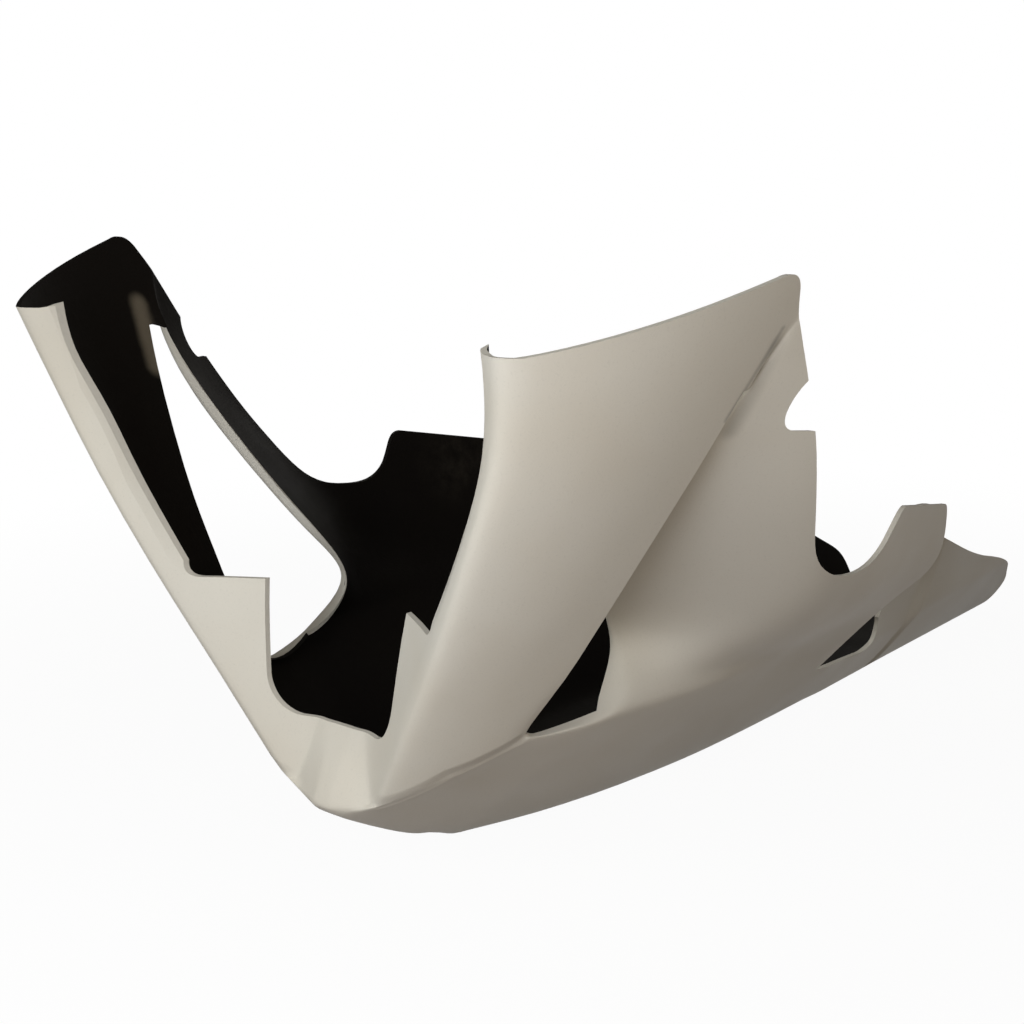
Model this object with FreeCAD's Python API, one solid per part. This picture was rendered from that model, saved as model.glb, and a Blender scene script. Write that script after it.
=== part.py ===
import FreeCAD, Part
import os

V = FreeCAD.Vector

# Lower fairing of a motorbike: one moulded shell, mirrored about the plane y = 0.
# X runs forward, Y to the left, Z up.  The origin is in the middle of the flat bottom.
# All sizes are in millimetres.

length = 731.0
width = 441.0
height = 310.0
wall = 2.7
dam_height = 78.0
wing_height = 146.0

# The guide points below are drawn for this length, width and height.
drawn_length = 731.0
drawn_width = 441.0
drawn_height = 310.0

# Guide lines of the outer skin, each from the top down to the chine.
lip_line = [(336, 126, 292), (319, 117, 240), (309.5, 85, 192), (304, 57, 168), (299, 37, 146),
            (297, 26, 118), (298, 16, 96), (299, 12, 90)]
crease = [(363.5, 142, 292), (353.5, 138.5, 265), (346, 133, 240), (339.5, 111.5, 192), (330, 86, 146),
          (319, 57.5, 100), (309.5, 30.5, 53), (308, 26, 45)]
nose = [(376, 162, 296), (365.5, 157, 266), (357.5, 148.8, 240), (349.3, 123.4, 192), (337, 99, 146),
        (325, 69, 100), (313.5, 38, 53), (311.5, 33, 45.5)]
blade_rear = [(238, 227, 322), (253.6, 196.5, 256), (260.5, 181, 226), (269, 148, 168),
              (270.7, 121, 124), (274.2, 101, 93), (275, 96, 86)]
flange_tip = [(226, 230, 322), (249, 201.5, 266), (247.5, 171.5, 236), (243.5, 158.5, 219),
              (237.5, 132, 189.5), (227, 95.5, 150), (187, 90.5, 118), (222, 99, 88), (232, 110.5, 86)]
vent_rear = [(222, 231, 322), (248, 202.5, 266), (253, 178, 236), (250.5, 166, 219),
             (242.5, 137.5, 189.5), (231.5, 100.5, 150), (196, 93.5, 118), (209, 109, 96), (220, 112.5, 86)]
skin_rear = [(194, 234.5, 322), (190, 228, 260), (184, 215, 220), (176, 202, 192), (152, 189, 161),
             (144, 168, 130), (146, 140, 108), (147, 122, 94), (148, 124, 86)]
skin_cut = [(117, 205, 210), (112, 182, 148), (110, 171, 128), (110, 150, 107), (110, 127, 92),
            (110, 124, 86)]
flap_front = [(64, 192, 205), (62, 178, 148), (62, 170, 128), (62, 150, 105), (62, 127, 88), (62, 119, 81)]
flap_mid = [(6, 180, 200), (6, 170, 145), (5, 165, 128), (4, 150, 108), (4, 126, 84), (4, 110, 66)]
flap_rear = [(-44, 165, 195), (-48, 160, 145), (-50, 159, 127), (-46, 150, 107), (-36, 126, 80),
             (-28, 108, 59)]
tail_front = [(-82, 126, 160), (-84, 120, 139), (-90, 106, 90), (-95, 94, 48), (-96, 92, 41)]
tail_recess = [(-124, 124, 158), (-124, 112, 110), (-124, 93, 52), (-126, 90, 41)]
tail_step = [(-146, 122, 150), (-146, 110, 105), (-147, 93, 52), (-148, 90, 42)]
tail_proud = [(-162, 122, 145), (-163, 114, 105), (-164, 103, 62), (-164, 100, 53)]
tail_mid = [(-228, 114, 115), (-227, 104, 79), (-228, 102, 64), (-228, 100, 54)]
tail_rear = [(-300, 104, 95), (-300, 94, 62), (-300, 95, 52)]
tail_end = [(-376, 92, 80), (-376, 88, 57), (-376, 86, 47)]

# Height of the net's bottom poles, a little under the flat bottom, and half the bottom's width at the tail.
floor_pole = -1.5
tail_half_width = 60

# Poles that shape the ledge between the blade and the flange, and the chine below it.
ledge_front = (266, 80, 78)
ledge_mid = (245, 87, 81)
chine_front = (265, 99.5, 86)
chine_mid = (248, 105.5, 86)

# How sharply the skin turns at the crease, how far the blade bows out, and how far it runs on past its edge.
crease_inside = 0.12
crease_outside = 0.35
blade_bow = 0.09
blade_run = 6.0
narrow_vent = 12.0

# Share of each row's height between the top of a guide line and its last point but one.
row_shares = (0.0, 0.11, 0.24, 0.38, 0.52, 0.66, 0.78, 0.9, 1.0)


def at(x, y, z):
    return V(x * length / drawn_length, y * width / drawn_width, z * height / drawn_height)


def mix(p, q, t):
    return p + (q - p) * t


def along(line, t):
    """Point of a guide line at the share t of its height, from the top."""
    z = line[0][2] + (line[-2][2] - line[0][2]) * t
    for a, b in zip(line, line[1:]):
        if z >= b[2]:
            break
    s = max(0.0, min(1.0, (a[2] - z) / (a[2] - b[2])))
    return mix(at(*a), at(*b), s)


def side(line):
    return [along(line, t) for t in row_shares] + [at(*line[-1])]


def rib(upper, keel_x, half_width, keel_z):
    """A whole half rib: its side, and the bottom from just under the chine to the keel."""
    chine = upper[-1]
    bilge = at(keel_x, half_width, keel_z)
    keel = at(keel_x, 0, keel_z)
    return upper + [mix(chine, bilge, 0.1), mix(chine, bilge, 0.93), mix(bilge, keel, 0.15), keel]


def between(p, q, t, bulge=0.0):
    """Row between two rows at the share t, pushed out by a share of their distance."""
    row = []
    for a, b in zip(p, q):
        chord = b - a
        row.append(mix(a, b, t) + V(abs(chord.y), abs(chord.x), 0) * bulge)
    return row


crease_row = side(crease)
nose_row = side(nose)
rear_row = side(blade_rear)
tip_row = side(flange_tip)
vent_row = side(vent_rear)
skin_row = side(skin_rear)

# The lip turns in behind the crease: a narrow flange above, wings and the dam below.
lip = rib(side(lip_line), 299, 6, 85)
crease_rib = rib(crease_row, 318, 5, 40)
nose_rib = rib(nose_row, 312, 9, 34)
inside = [mix(c, w, crease_inside) for c, w in zip(crease_rib, lip)]
face = [mix(c, w, crease_outside) for c, w in zip(crease_rib, nose_rib)]

# The blade bows out between the nose and its rear edge.
mid_row = between(nose_row, rear_row, 0.65, blade_bow)
shoulder = rib(between(nose_row, rear_row, 0.3, blade_bow), 299, 11, 26.5)
blade_mid = rib(mid_row, 281, 13, 17)
blade_rib = rib(rear_row, 261, 14, 7)

# Behind the blade the sheet is open: the skin further in starts with a flange that turns inward.
past_row = []
over_row = []
for e, m, t, v in zip(rear_row, mid_row, tip_row, vent_row):
    gap = (e - t).Length
    on = e - m
    on.normalize()
    past_row.append(e + on * min(blade_run, 0.3 * gap))
    over_row.append(mix(t, e, 0.3) if gap < narrow_vent else t + (t - v))
past_row[-2:] = [at(*ledge_front), at(*chine_front)]
over_row[-2:] = [at(*ledge_mid), at(*chine_mid)]
past_rib = rib(past_row, 250, 15, 5)
over_rib = rib(over_row, 242, 16, 2)
tip_rib = rib(tip_row, 235, 17, floor_pole)
vent_rib = rib(vent_row, 228, 19, floor_pole)

skin_a = rib(between(vent_row, skin_row, 0.15), 215, 25, floor_pole)
skin_b = rib(between(vent_row, skin_row, 0.5), 188, 36, floor_pole)
skin_rib = rib(skin_row, 150, 46, floor_pole)
cut_rib = rib(side(skin_cut), 110, 53, floor_pole)
flap_a = rib(side(flap_front), 62, 59, floor_pole)
flap_b = rib(side(flap_mid), 4, tail_half_width, floor_pole)
flap_row = side(flap_rear)
flap_c = rib(flap_row, -50, tail_half_width, floor_pole)
flap_past = rib([p + at(-14, -1, 0) for p in flap_row], -66, tail_half_width, floor_pole)
tail_row = side(tail_front)
tail_under = rib([p + at(9, 2, 0) for p in tail_row], -84, tail_half_width, floor_pole)
tail_lines = ((tail_front, -97), (tail_recess, -126), (tail_step, -148), (tail_proud, -166),
              (tail_mid, -228), (tail_rear, -300), (tail_end, -376))
tail_ribs = [rib(side(line), x, tail_half_width, floor_pole) for line, x in tail_lines]

ribs = [lip, inside, crease_rib, face, nose_rib, shoulder, blade_mid, blade_rib, past_rib, over_rib,
        tip_rib, vent_rib, skin_a, skin_b, skin_rib, cut_rib, flap_a, flap_b, flap_c, flap_past, tail_under]
ribs = ribs + tail_ribs


def mirrored(row):
    return row + [V(p.x, -p.y, p.z) for p in reversed(row[:-1])]


def inward(net, depth):
    """The same net moved inward by the depth."""
    last_i = len(net) - 1
    last_j = len(net[0]) - 1
    rows = []
    for i in range(last_i + 1):
        row = []
        for j in range(last_j + 1):
            du = net[min(i + 1, last_i)][j] - net[max(i - 1, 0)][j]
            dv = net[i][min(j + 1, last_j)] - net[i][max(j - 1, 0)]
            n = du.cross(dv)
            n.normalize()
            row.append(net[i][j] + n * depth)
        rows.append(row)
    return rows


def sheet(net):
    """Cubic surface over a net of poles."""
    nu = len(net)
    nv = len(net[0])
    mu = [4] + [1] * (nu - 4) + [4]
    mv = [4] + [1] * (nv - 4) + [4]
    surface = Part.BSplineSurface()
    ku = list(range(nu - 2))
    kv = list(range(nv - 2))
    surface.buildFromPolesMultsKnots(net, mu, mv, ku, kv, False, False, 3, 3)
    return surface


def patches(surface, us, vs, holes):
    """The surface in pieces that meet at the given parameters, without the holes."""
    pieces = {}
    for i in range(len(us) - 1):
        for j in range(len(vs) - 1):
            if (i, j) not in holes:
                pieces[i, j] = surface.copy()
                pieces[i, j].segment(us[i], us[i + 1], vs[j], vs[j + 1])
    return pieces


def thick(net, depth, us, vs, holes):
    """Solid between the skin and the same skin moved inward, walled in at each free edge."""
    outer = patches(sheet(net), us, vs, holes)
    inner = patches(sheet(inward(net, depth)), us, vs, holes)
    faces = []
    for (i, j), p in outer.items():
        q = inner[i, j]
        faces = faces + [p.toShape(), q.toShape()]
        edges = []
        if (i - 1, j) not in outer:
            edges.append((p.uIso(us[i]), q.uIso(us[i])))
        if (i + 1, j) not in outer:
            edges.append((p.uIso(us[i + 1]), q.uIso(us[i + 1])))
        if (i, j - 1) not in outer:
            edges.append((p.vIso(vs[j]), q.vIso(vs[j])))
        if (i, j + 1) not in outer:
            edges.append((p.vIso(vs[j + 1]), q.vIso(vs[j + 1])))
        for a, b in edges:
            faces.append(Part.makeRuledSurface(a.toShape(), b.toShape()))
    shell = Part.makeShell(faces)
    shell.sewShape()
    solid = Part.makeSolid(Part.Shell(shell.Faces))
    if solid.Volume < 0:
        solid.reverse()
    return solid


def outline(parts, place):
    """Face inside straight lines, where a part has two points, and smooth curves, where it has more."""
    edges = []
    last = None
    for part in parts:
        points = [place(a, b) for a, b in part]
        if last is not None and (points[0] - last).Length > 0.01:
            edges.append(Part.LineSegment(last, points[0]).toShape())
        if len(points) == 2:
            edges.append(Part.LineSegment(points[0], points[1]).toShape())
        else:
            curve = Part.BSplineCurve()
            curve.interpolate(points)
            edges.append(curve.toShape())
        last = points[-1]
    edges.append(Part.LineSegment(last, place(*parts[0][0])).toShape())
    return Part.Face(Part.Wire(edges))


# The net is laid in pieces.  The vents are the pieces left out between the blade's rear edge and the
# flange, from where the two lines meet down to the ledge over the chine.
net = [mirrored(r) for r in ribs]
along_net = len(net) - 3
across_net = len(net[0]) - 3
blade_edge = 6.25
flange_edge = 9.0
vent_top = 1.25
vent_ledge = 7.4
cuts_u = [0, 3, blade_edge, flange_edge, 14, 20, along_net]
cuts_v = [0, vent_top, vent_ledge, across_net / 2]
cuts_v = cuts_v + [across_net - v for v in reversed(cuts_v[:-1])]
body = thick(net, wall, cuts_u, cuts_v, {(2, 1), (2, 4)})

# Outline of the panels in the side view.
front_edge = [(460, 281.5), (362, 281.5)]
top_edge = [(362, 281.5), (334, 289), (292, 300.5), (262, 308.5)]
top_corner = [(262, 308.5), (253, 309), (246.5, 303.5)]
notch = [(222, 261.5), (225, 250), (222, 241), (214.5, 237.5)]
rear_edge = [(207, 237), (190, 209), (174, 185), (153, 161), (135, 151.5), (112, 147), (93, 148),
             (80, 155), (72, 166), (67, 172), (60, 174)]
flap_corner = [(-33, 156), (-40, 153), (-45, 141), (-49, 126), (-46, 112), (-30, 101), (-23, 83),
               (-14, 44)]
low_vent = [(-78, 38), (-92, 38), (-97, 41), (-98, 47), (-88, 62)]
tail_tab = [(-84, 139), (-106, 137), (-131, 130.5), (-138, 126), (-138.5, 119), (-136, 113)]
tail_edge = [(-142, 110), (-172, 98), (-222, 80), (-265, 67.5), (-303, 57.5), (-325, 49), (-350, 34),
             (-365, 20), (-364, 8), (-356, 0)]
ends = [(-356, -20), (460, -20)]


def from_side(x, z):
    return at(x, -drawn_width, z)


panels = outline([front_edge, top_edge, top_corner, notch, rear_edge, flap_corner, low_vent, tail_tab,
                  tail_edge, ends], from_side)
body = body.common(panels.extrude(at(0, 2 * drawn_width, 0)))
body = body.common(Part.makeBox(2 * length, 2 * width, 2 * height, V(-length, -width, 0)))

# Mouth between the lips, with the wings and the dam left standing.
lip_edge = [(139, 330), (138.7, 281), (137, 262), (129.3, 238), (107.5, 192), (85, 154)]
wing_corner = [(85, 154), (82, wing_height + 1.5), (77, wing_height)]
wing_edge = [(48.7, wing_height), (43.5, 98)]
dam_corner = [(43.5, 98), (41, 90), (35.5, 82.5), (26, dam_height)]
mouth_rear = 200.0
mouth_depth = 300.0


def from_front(y, z):
    return at(mouth_rear, y, z)


half = [lip_edge, wing_corner, wing_edge, dam_corner]
other = [[(-y, z) for y, z in reversed(part)] for part in reversed(half)]
body = body.cut(outline(half + other, from_front).extrude(at(mouth_depth, 0, 0)))
os.makedirs("parts", exist_ok=True)
body.exportStep("parts/lower_fairing.step")
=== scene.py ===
"""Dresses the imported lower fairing: pale gelcoat outside, sprayed black inside, on a white studio floor."""
import math

import bmesh
import bpy
from mathutils import Matrix, Vector


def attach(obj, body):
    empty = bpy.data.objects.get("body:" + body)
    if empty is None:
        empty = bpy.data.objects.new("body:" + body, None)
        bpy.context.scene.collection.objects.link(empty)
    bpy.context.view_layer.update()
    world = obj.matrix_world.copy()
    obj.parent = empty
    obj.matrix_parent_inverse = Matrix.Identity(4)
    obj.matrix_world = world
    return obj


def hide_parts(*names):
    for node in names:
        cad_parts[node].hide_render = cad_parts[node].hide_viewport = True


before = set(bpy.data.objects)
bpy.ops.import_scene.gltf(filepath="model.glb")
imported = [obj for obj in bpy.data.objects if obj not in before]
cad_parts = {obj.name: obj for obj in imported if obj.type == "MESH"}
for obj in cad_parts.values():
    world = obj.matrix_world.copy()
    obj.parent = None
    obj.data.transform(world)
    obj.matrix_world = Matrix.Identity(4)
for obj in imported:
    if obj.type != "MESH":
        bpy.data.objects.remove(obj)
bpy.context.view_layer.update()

bl_info = {
    "name": "Lower fairing looks",
    "version": (1, 0, 0),
    "blender": (4, 5, 0),
    "location": "View3D > Sidebar > Fairing",
    "description": "Builds the moulded lower fairing's finish and its studio stage",
    "category": "Object",
}

NODE = "lower_fairing"
BODY = "root"
OUTSIDE, INSIDE, RIM = range(3)
LEVEL = 0.98  # the least upright share of a normal on the flat bottom

# Marks on the left side, which the right side mirrors, in metres: the groove above the vent, darkened as
# painted shade as well as bumped, the painted shadow on the skin behind it, the blade's foot along the chine,
# and the thin paint by the vent's top and on the flap. Each reach is the distance at which the mark starts to
# fade and the one at which it is gone.
# the groove's line: along it the gelcoat is darkened as painted shade as well as bumped
STEP = ((0.2464, 0.2104, 0.2863), (0.2577, 0.1912, 0.2472))
STEP_REACH = (0.0, 0.0024)
# painted shadow: a soft dark band on the skin behind the blade's edge above the vent
PAINTED_SHADOW = ((0.2458, 0.2065, 0.279), (0.2442, 0.185, 0.24))
PAINTED_SHADOW_REACH = (0.0, 0.0075)
CHINE = ((0.3101, 0.0327, 0.0462), (0.2984, 0.0692, 0.068), (0.2752, 0.0933, 0.0845))
CHINE_REACH = (0.0003, 0.006)
BARE = ((0.2575, 0.2005, 0.2715), (0.2605, 0.1835, 0.239))
BARE_REACH = (0.0005, 0.013)
PATCH = (0.02, 0.169, 0.148)
PATCH_REACH = (0.005, 0.04)

# The step across the tail: where it runs along x, and its depth.
TAIL_STEP = (-0.161, -0.145)
TAIL_DEPTH = 0.010

# The front lip's crease: its half width at each height, the height and width that stand for 1 on its ramp, and
# where the fold fades in along z and x.
CREASE = ((0.146, 0.086), (0.192, 0.1115), (0.24, 0.133), (0.265, 0.1385), (0.292, 0.142))
CREASE_HEIGHT = 0.32
CREASE_WIDTH = 0.2
LIP_FOOT = (0.14, 0.17)
LIP_BACK = (0.29, 0.3)

# The pale rim: where the mouth starts along x, its half width, and where the spray on the right ends along y.
MOUTH_BACK = (0.275, 0.285)
MOUTH_SIDE = (0.1405, 0.142)
SPRAY_SIDE = (-0.02, 0.0)

# Colours by which the gelcoat's own colour is multiplied.
CLOUD_TINT = (0.95, 0.93, 0.90)
SPECK_TINT = (0.8, 0.8, 0.8)
# painted shade: the darkening of the groove above the vent and of the painted shadow behind it
PAINTED_SHADE_TINT = (0.3, 0.3, 0.3)
THIN_TINT = (0.45, 0.4, 0.33)
FIBRE_TINT = (0.75, 0.75, 0.75)

# The most that each of these covers or adds.
SPECK_SHARE = 0.3
# painted shade in the groove above the vent, and the painted shadow behind it
GROOVE_SHADE_SHARE = 0.45
PAINTED_SHADOW_SHARE = 0.35
WAVE_SHARE = 0.6
MIST_SHARE = 0.3
THIN_SHARE = 0.55
PATCH_SHARE = 0.06
FIBRE_SHARE = 0.15

GELCOAT_GLOSS = 0.12
PAINT_GLOSS = 0.05

WHITE = (1, 1, 1, 1)
FLOOR_SEEN = (0.9, 0.9, 0.9, 1)
FLOOR_DROP = 0.0005
SKY_TINT = (1, 0.985, 0.96, 1)
SENSOR = 36
CLIP = (0.02, 50)

# Name, place, aim, width, power and colour of each lamp.
LAMPS = (
    ("front_soft", (1.15, -0.05, 0.62), (0.15, 0, 0.14), 0.6, 3.0, (0.97, 1, 0.96)),
    ("front_right", (1.20, -0.55, 0.52), (0.15, 0, 0.14), 0.6, 2.1, (1, 0.98, 0.93)),
    ("near_side", (0.75, 1.05, 0.45), (0.1, 0, 0.14), 0.6, 4.0, (1, 0.93, 0.83)),
    ("near_nose", (0.95, 0.30, 0.27), (0.3, 0.1, 0.16), 0.35, 2.8, (0.9, 0.94, 1)),
    ("overhead", (0.05, 0.10, 1.55), (0.05, 0, 0.1), 0.9, 1.2, (1, 0.94, 0.86)),
    ("rear_left", (-0.85, 0.85, 1.1), (-0.2, 0.1, 0.08), 0.5, 1.8, (1, 0.97, 0.93)),
    ("rear_fill", (-1.2, -0.8, 0.8), (-0.1, 0, 0.1), 0.8, 3.0, (1, 0.96, 0.9)),
)


class Value:
    """A socket of a node. Sums, differences and products of values add Math nodes."""

    def __init__(self, nodes, socket):
        self.nodes = nodes
        self.socket = socket

    def join(self, operation, first, second):
        return self.nodes.node("ShaderNodeMath", {"operation": operation}, {0: first, 1: second})[0]

    def __add__(self, other):
        return self.join("ADD", self, other)

    def __sub__(self, other):
        return self.join("SUBTRACT", self, other)

    def __rsub__(self, other):
        return self.join("SUBTRACT", other, self)

    def __mul__(self, other):
        return self.join("MULTIPLY", self, other)

    def __abs__(self):
        return self.nodes.node("ShaderNodeMath", {"operation": "ABSOLUTE"}, {0: self})[0]

    def at_least(self, other):
        return self.join("MAXIMUM", self, other)


class Nodes:
    """The nodes of a material or a world."""

    def __init__(self, tree):
        self.tree = tree
        tree.nodes.clear()

    def node(self, kind, settings=None, sockets=None):
        """Adds a node, sets its settings and its ramp's stops, fills its sockets and returns its outputs."""
        made = self.tree.nodes.new(kind)
        for key, value in (settings or {}).items():
            if key == "stops":
                for element, (place, shade) in zip(self.stops(made, len(value)), value):
                    element.position = place
                    element.color = (shade, shade, shade, 1)
            else:
                setattr(made, key, value)
        for key, value in (sockets or {}).items():
            if isinstance(value, Value):
                self.tree.links.new(value.socket, made.inputs[key])
            else:
                made.inputs[key].default_value = value
        return [Value(self, socket) for socket in made.outputs]

    @staticmethod
    def stops(ramp, count):
        elements = ramp.color_ramp.elements
        while len(elements) < count:
            elements.new(0.5)
        return elements


class Finish(Nodes):
    """One material and the nodes that make its surface."""

    def __init__(self, name):
        self.material = bpy.data.materials.new(name)
        self.material.use_nodes = True
        super().__init__(self.material.node_tree)

    def place(self):
        """The surface point in the object's own frame, in metres."""
        return self.node("ShaderNodeTexCoord")[3]

    def noise(self, scale, detail=2.0, rough=0.5):
        return self.node(
            "ShaderNodeTexNoise",
            {},
            {"Vector": self.place(), "Scale": scale, "Detail": detail, "Roughness": rough},
        )[0]

    def uneven(self, scale, least, spread, detail=2.0):
        """A roughness that wanders over the surface, from the least up by at most the spread."""
        return self.noise(scale, detail) * spread + least

    def ramp(self, value, low, high):
        """0 below low, 1 above high and a smooth rise between them."""
        return self.node(
            "ShaderNodeMapRange",
            {"interpolation_type": "SMOOTHSTEP"},
            {"Value": value, "From Min": low, "From Max": high},
        )[0]

    def blend(self, share, first, second):
        return self.node(
            "ShaderNodeMix",
            {"data_type": "RGBA"},
            {0: share, 6: first, 7: second},
        )[2]

    def axes(self):
        return self.node("ShaderNodeSeparateXYZ", {}, {0: self.place()})

    def folded(self):
        """The surface point with its y made positive, so that both sides get the same marks."""
        x, y, z = self.axes()
        return self.node("ShaderNodeCombineXYZ", {}, {0: x, 1: abs(y), 2: z})[0]

    def vector(self, operation, first, second):
        return self.node("ShaderNodeVectorMath", {"operation": operation}, {0: first, 1: second})

    def ball(self, centre, inner, outer):
        """1 within the inner radius of a point and 0 beyond the outer one."""
        return 1 - self.ramp(self.vector("DISTANCE", self.folded(), centre)[1], inner, outer)

    def line(self, start, end, inner, outer):
        """1 within the inner distance of the line between two points and 0 beyond the outer one."""
        span = Vector(end) - Vector(start)
        away = self.vector("SUBTRACT", self.folded(), start)[0]
        share = self.vector("DOT_PRODUCT", away, tuple(span / span.length_squared))[1]
        held = self.node("ShaderNodeClamp", {}, {0: share})[0]
        foot = self.node("ShaderNodeVectorMath", {"operation": "SCALE"}, {0: tuple(span), "Scale": held})[0]
        return 1 - self.ramp(self.vector("DISTANCE", away, foot)[1], inner, outer)

    def bump(self, height, distance, strength, under=None):
        sockets = {"Height": height, "Distance": distance, "Strength": strength}
        if under:
            sockets["Normal"] = under
        return self.node("ShaderNodeBump", {}, sockets)[0]

    def surface(self, **sockets):
        shader = self.node("ShaderNodeBsdfPrincipled", {}, sockets)[0]
        self.node("ShaderNodeOutputMaterial", {}, {"Surface": shader})
        return self.material


def opaque(colour):
    return (*colour, 1)


def tinted(colour, tint):
    return opaque(part * share for part, share in zip(colour, tint))


class ShellSettings(bpy.types.PropertyGroup):
    gelcoat: bpy.props.FloatVectorProperty(
        name="Gelcoat", description="Colour of the moulded outside", subtype="COLOR", size=3,
        min=0, max=1, default=(0.62, 0.59, 0.525))
    paint: bpy.props.FloatVectorProperty(
        name="Inside paint", description="Colour sprayed on the inside", subtype="COLOR", size=3,
        min=0, max=1, default=(0.0078, 0.0062, 0.0049))
    fold: bpy.props.FloatProperty(
        name="Fold limit", description="Faces that meet at more than this are different sides",
        subtype="ANGLE", default=math.radians(28))
    weld: bpy.props.FloatProperty(
        name="Weld", description="Corners nearer than this are one", subtype="DISTANCE", unit="LENGTH",
        default=1e-5)


class StageSettings(bpy.types.PropertyGroup):
    floor: bpy.props.FloatVectorProperty(
        name="Floor", description="Colour of the light that the floor throws back", subtype="COLOR", size=3,
        min=0, max=1, default=(0.13, 0.09, 0.06))
    white: bpy.props.FloatProperty(
        name="White", description="Share of plain white in the floor by the object, as the camera sees it",
        min=0, max=1, default=0.95)
    clear: bpy.props.FloatProperty(
        name="Clear", description="Distance from the middle at which the floor is plain white", unit="LENGTH",
        default=0.9)
    floor_size: bpy.props.FloatProperty(
        name="Floor size", description="Side of the square floor", unit="LENGTH", default=14.0)
    lens: bpy.props.FloatProperty(
        name="Lens", description="Focal length on a 36 mm sensor", unit="CAMERA", default=56.25)
    camera: bpy.props.FloatVectorProperty(
        name="Camera", description="Place of the camera", subtype="TRANSLATION", size=3, unit="LENGTH",
        default=(0.835097, 0.5425, 0.360747))
    back: bpy.props.FloatVectorProperty(
        name="Camera back", description="Direction from the aim to the camera", subtype="DIRECTION", size=3,
        default=(0.75708, 0.61386, 0.22371))
    light: bpy.props.FloatProperty(
        name="Light", description="Share of the lamps' full power", default=1.0)
    sky: bpy.props.FloatProperty(
        name="Sky", description="Strength of the even light from all round", default=0.03)


def sides_of(shell, fold):
    """Marks each face as outside, inside or rim, spreading from the flat bottom over gentle folds."""
    mark = {face: RIM for face in shell.faces}
    for side, up in ((OUTSIDE, -1), (INSIDE, 1)):
        level = [face for face in shell.faces if face.normal.z * up > LEVEL]
        seed = min(level, key=lambda face: face.calc_center_median().length)
        mark[seed] = side
        front = [seed]
        while front:
            face = front.pop()
            for edge in face.edges:
                if len(edge.link_faces) != 2 or edge.calc_face_angle() > fold:
                    continue
                for other in edge.link_faces:
                    if mark[other] == RIM:
                        mark[other] = side
                        front.append(other)
    return mark


def lip_fold(finish):
    """How far a point of the front lies inside the crease of its lip, in metres."""
    x, y, z = finish.axes()
    stops = [(height / CREASE_HEIGHT, half / CREASE_WIDTH) for height, half in CREASE]
    share = finish.node("ShaderNodeValToRGB", {"stops": stops}, {0: z * (1 / CREASE_HEIGHT)})[0]
    inside = (share * CREASE_WIDTH - abs(y)).at_least(0.0)
    return inside * finish.ramp(z, *LIP_FOOT) * finish.ramp(x, *LIP_BACK)


def gelcoat_finish(colour):
    """Satin gelcoat, faintly cloudy and grained, with a bumped groove, painted shade along it and a painted
    shadow behind it where the blade meets the skin.
    """
    finish = Finish("gelcoat_satin")
    cloud = finish.ramp(finish.noise(scale=9, detail=3), low=0.35, high=0.7)
    grain = finish.noise(scale=900, rough=0.6)
    specks = finish.ramp(grain, low=0.55, high=0.75) * SPECK_SHARE
    step = finish.line(*STEP, *STEP_REACH)
    # painted shadow: where the skin behind the blade's edge is darkened
    painted_shadow = finish.line(*PAINTED_SHADOW, *PAINTED_SHADOW_REACH)
    lower, upper = (finish.line(*ends, *CHINE_REACH) for ends in zip(CHINE, CHINE[1:]))
    chine = lower.at_least(upper)
    tail = 1 - finish.ramp(finish.axes()[0], *TAIL_STEP)
    tone = finish.blend(cloud, opaque(colour), tinted(colour, CLOUD_TINT))
    tone = finish.blend(specks, tone, tinted(colour, SPECK_TINT))
    # painted shade darkens the groove above the vent, and a painted shadow darkens the skin behind it
    tone = finish.blend(step * GROOVE_SHADE_SHARE + painted_shadow * PAINTED_SHADOW_SHARE, tone, tinted(colour, PAINTED_SHADE_TINT))
    normal = finish.bump(lip_fold(finish) * -1.0, distance=1.0, strength=0.3)
    normal = finish.bump(1 - step, distance=0.0001, strength=1.0, under=normal)
    normal = finish.bump(1 - chine, distance=0.0011, strength=1.0, under=normal)
    normal = finish.bump(tail * TAIL_DEPTH, distance=1.0, strength=1.0, under=normal)
    texture = grain + finish.noise(scale=160) * WAVE_SHARE
    return finish.surface(**{
        "Base Color": tone,
        "Roughness": finish.uneven(scale=40, least=0.46, spread=0.12, detail=3),
        "Specular IOR Level": GELCOAT_GLOSS,
        "Normal": finish.bump(texture, distance=0.0004, strength=0.12, under=normal),
    })


def paint_finish(paint, gelcoat):
    """Black sprayed over the inside, thin by the top of the vents and on the flaps."""
    finish = Finish("inside_spray")
    mist = finish.noise(scale=60, detail=4, rough=0.65)
    bare = finish.line(*BARE, *BARE_REACH)
    thin = finish.ramp(bare + (mist - 0.5) * MIST_SHARE, low=0.2, high=1.1) * THIN_SHARE
    patch = finish.ball(PATCH, *PATCH_REACH) * finish.ramp(mist, low=0.3, high=0.7) * PATCH_SHARE
    return finish.surface(**{
        "Base Color": finish.blend(thin + patch, opaque(paint), tinted(gelcoat, THIN_TINT)),
        "Roughness": finish.uneven(scale=30, least=0.55, spread=0.18, detail=3),
        "Specular IOR Level": PAINT_GLOSS,
        "Normal": finish.bump(finish.noise(scale=420, detail=3), distance=0.0005, strength=0.35),
    })


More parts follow.
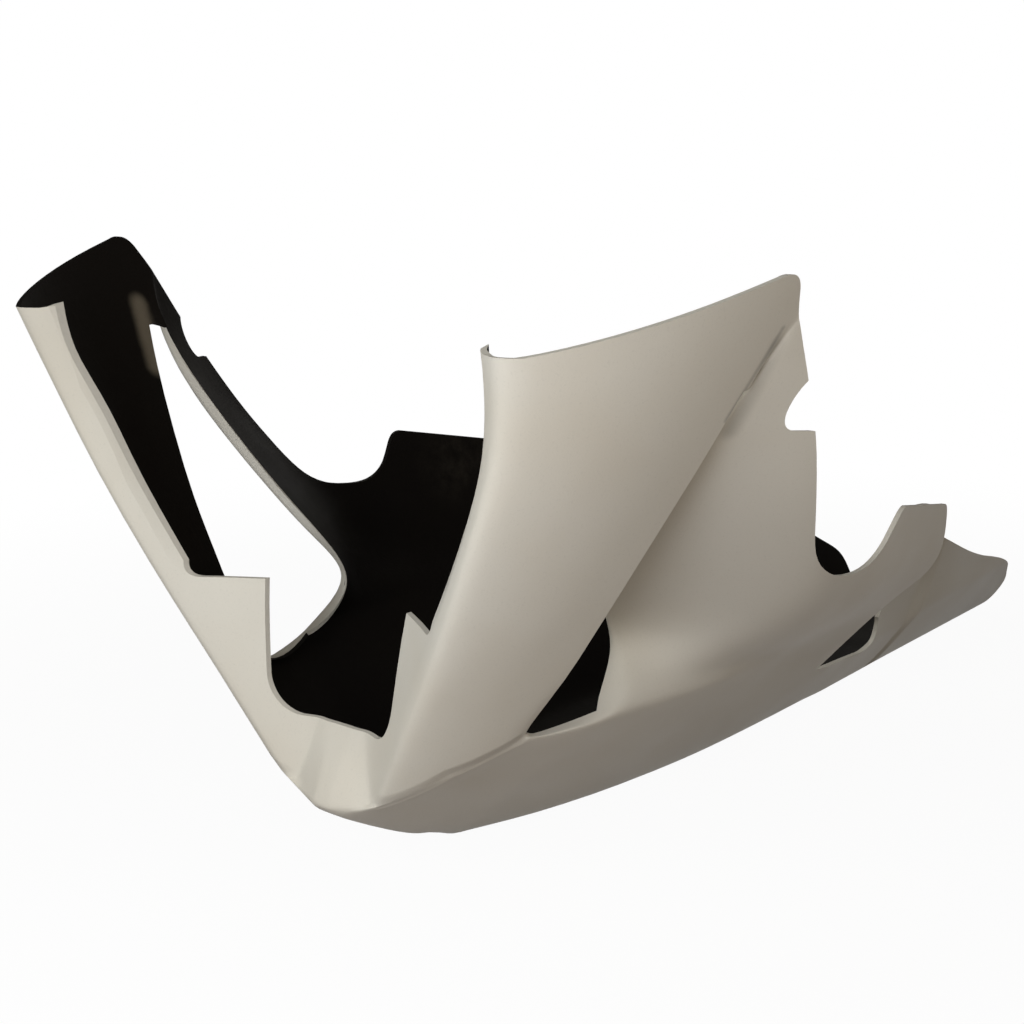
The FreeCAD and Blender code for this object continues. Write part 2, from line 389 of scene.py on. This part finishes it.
def rim_finish(paint, gelcoat):
    """The cut edge: pale round the mouth and on the left, sprayed over on the right."""
    finish = Finish("sanded_rim")
    x, y, _ = finish.axes()
    fibre = finish.ramp(finish.noise(scale=350, detail=3), low=0.4, high=0.65)
    mouth = finish.ramp(x, *MOUTH_BACK) * (1 - finish.ramp(abs(y), *MOUTH_SIDE))
    sprayed = (1 - finish.ramp(y, *SPRAY_SIDE)) * (1 - mouth)
    laminate = finish.blend(fibre * FIBRE_SHARE, opaque(gelcoat), tinted(gelcoat, FIBRE_TINT))
    return finish.surface(**{
        "Base Color": finish.blend(sprayed, laminate, opaque(paint)),
        "Roughness": finish.uneven(scale=200, least=0.5, spread=0.15),
        "Specular IOR Level": GELCOAT_GLOSS,
        "Normal": finish.bump(fibre, distance=0.0003, strength=0.08),
    })


class FAIRING_OT_shell(bpy.types.Operator):
    """Dresses the moulded shell"""
    bl_idname = "fairing.shell"
    bl_label = "Dress the shell"

    def execute(self, context):
        settings = context.scene.fairing_shell
        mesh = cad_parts[NODE].data.copy()
        mesh.name = "moulded_shell"
        mesh.materials.clear()
        gelcoat = tuple(settings.gelcoat)
        paint = tuple(settings.paint)
        for material in (gelcoat_finish(gelcoat), paint_finish(paint, gelcoat), rim_finish(paint, gelcoat)):
            mesh.materials.append(material)
        shell = bmesh.new()
        shell.from_mesh(mesh)
        bmesh.ops.remove_doubles(shell, verts=shell.verts, dist=settings.weld)
        shell.normal_update()
        mark = sides_of(shell, settings.fold)
        for face, side in mark.items():
            face.material_index = side
            face.smooth = True
        for edge in shell.edges:
            one_side = len({mark[face] for face in edge.link_faces}) == 1
            edge.smooth = one_side and edge.calc_face_angle(0) < settings.fold
        shell.to_mesh(mesh)
        shell.free()
        piece = bpy.data.objects.new("moulded_shell", mesh)
        context.scene.collection.objects.link(piece)
        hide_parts(NODE)
        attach(piece, BODY)
        return {"FINISHED"}


def floor_finish(colour, share, clear):
    """A floor that the camera and reflections see as white, with a faint shadow by the object."""
    finish = Finish("studio_floor")
    path = finish.node("ShaderNodeLightPath")
    camera_ray, glossy_ray = path[0], path[3]
    seen = camera_ray.at_least(glossy_ray)
    tone = finish.blend(seen, opaque(colour), FLOOR_SEEN)
    matt = finish.node("ShaderNodeBsdfDiffuse", {}, {"Color": tone})[0]
    white = finish.node("ShaderNodeEmission", {}, {"Color": WHITE, "Strength": 1.0})[0]
    near = finish.ball((0, 0, 0), clear / 3, clear)
    plain = seen * (1 - near * (1 - share))
    mixed = finish.node("ShaderNodeMixShader", {}, {0: plain, 1: matt, 2: white})[0]
    finish.node("ShaderNodeOutputMaterial", {}, {"Surface": mixed})
    return finish.material


def studio_floor(settings):
    half = settings.floor_size / 2
    corners = [(-half, -half, 0), (half, -half, 0), (half, half, 0), (-half, half, 0)]
    mesh = bpy.data.meshes.new("studio_floor")
    mesh.from_pydata(corners, [], [(0, 1, 2, 3)])
    mesh.materials.append(floor_finish(tuple(settings.floor), settings.white, settings.clear))
    floor = bpy.data.objects.new("studio_floor", mesh)
    floor.location.z = -FLOOR_DROP
    return floor


def lamp(name, place, aim, width, power, tint):
    data = bpy.data.lights.new(name, "AREA")
    data.shape = "DISK"
    data.size = width
    data.energy = power
    data.color = tint
    made = bpy.data.objects.new(name, data)
    made.location = place
    made.rotation_mode = "QUATERNION"
    made.rotation_quaternion = (Vector(aim) - Vector(place)).to_track_quat("-Z", "Y")
    return made


def studio_sky(strength):
    """Surroundings that the camera sees as white, and that light the object faintly from all round."""
    world = bpy.data.worlds.new("studio_sky")
    world.use_nodes = True
    sky = Nodes(world.node_tree)
    camera_ray = sky.node("ShaderNodeLightPath")[0]
    even = sky.node("ShaderNodeBackground", {}, {"Color": SKY_TINT, "Strength": strength})[0]
    white = sky.node("ShaderNodeBackground", {}, {"Color": WHITE})[0]
    mixed = sky.node("ShaderNodeMixShader", {}, {0: camera_ray, 1: even, 2: white})[0]
    sky.node("ShaderNodeOutputWorld", {}, {"Surface": mixed})
    return world


def photo_camera(settings):
    data = bpy.data.cameras.new("photo_camera")
    data.lens = settings.lens
    data.sensor_width = SENSOR
    data.clip_start, data.clip_end = CLIP
    camera = bpy.data.objects.new("photo_camera", data)
    back = Vector(settings.back).normalized()
    right = Vector((0, 0, 1)).cross(back).normalized()
    turn = Matrix((right, back.cross(right), back)).transposed().to_4x4()
    camera.matrix_world = Matrix.Translation(settings.camera) @ turn
    return camera


class FAIRING_OT_stage(bpy.types.Operator):
    """Builds the floor, lamps, surroundings and camera"""
    bl_idname = "fairing.stage"
    bl_label = "Build the stage"

    def execute(self, context):
        scene = context.scene
        settings = scene.fairing_stage
        floor = studio_floor(settings)
        scene.collection.objects.link(floor)
        for name, place, aim, width, power, tint in LAMPS:
            scene.collection.objects.link(lamp(name, place, aim, width, power * settings.light, tint))
        scene.world = studio_sky(settings.sky)
        scene.camera = photo_camera(settings)
        scene.collection.objects.link(scene.camera)
        scene.view_settings.view_transform = "Standard"
        return {"FINISHED"}


class FAIRING_PT_panel(bpy.types.Panel):
    """Lists the steps that dress the fairing"""
    bl_label = "Fairing"
    bl_idname = "FAIRING_PT_panel"
    bl_space_type = "VIEW_3D"
    bl_region_type = "UI"
    bl_category = "Fairing"

    def draw(self, context):
        for operator in OPERATORS:
            self.layout.operator(operator.bl_idname)


SETTINGS = {"fairing_shell": ShellSettings, "fairing_stage": StageSettings}
OPERATORS = (FAIRING_OT_shell, FAIRING_OT_stage)
CLASSES = (*SETTINGS.values(), *OPERATORS, FAIRING_PT_panel)


def register():
    for made in CLASSES:
        bpy.utils.register_class(made)
    for name, group in SETTINGS.items():
        setattr(bpy.types.Scene, name, bpy.props.PointerProperty(type=group))


def unregister():
    for name in SETTINGS:
        delattr(bpy.types.Scene, name)
    for made in reversed(CLASSES):
        bpy.utils.unregister_class(made)


def main():
    register()
    bpy.ops.fairing.shell()
    bpy.ops.fairing.stage()


if __name__ == "__main__":
    main()
